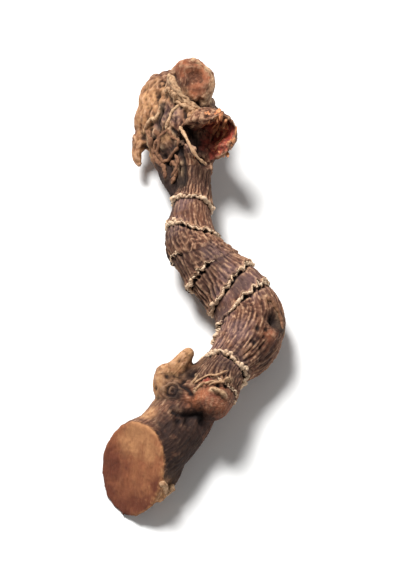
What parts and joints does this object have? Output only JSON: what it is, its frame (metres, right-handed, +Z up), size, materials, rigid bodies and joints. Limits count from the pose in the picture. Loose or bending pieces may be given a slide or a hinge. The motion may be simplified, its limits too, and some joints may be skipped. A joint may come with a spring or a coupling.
{
  "type": "dried galangal rhizome",
  "caption": "Dried galangal rhizome: a bent, ringed and wrinkled root piece with a torn crown at one end and a slanting cut face at the other.",
  "frame": {"origin": "middle of the footprint's box, on the surface that the rhizome lies on", "axes": "+Z up, +Y along the length towards the torn crown, +X towards the outside of the bend, to the right when the crown points away from the viewer"},
  "size_m": [0.0316, 0.0842, 0.0177],
  "materials": {
    "rhizome_skin": "matte, dry, wrinkled"
  },
  "bodies": {
    "root": {"rhizome": "rhizome_skin"}
  },
  "joints": []
}
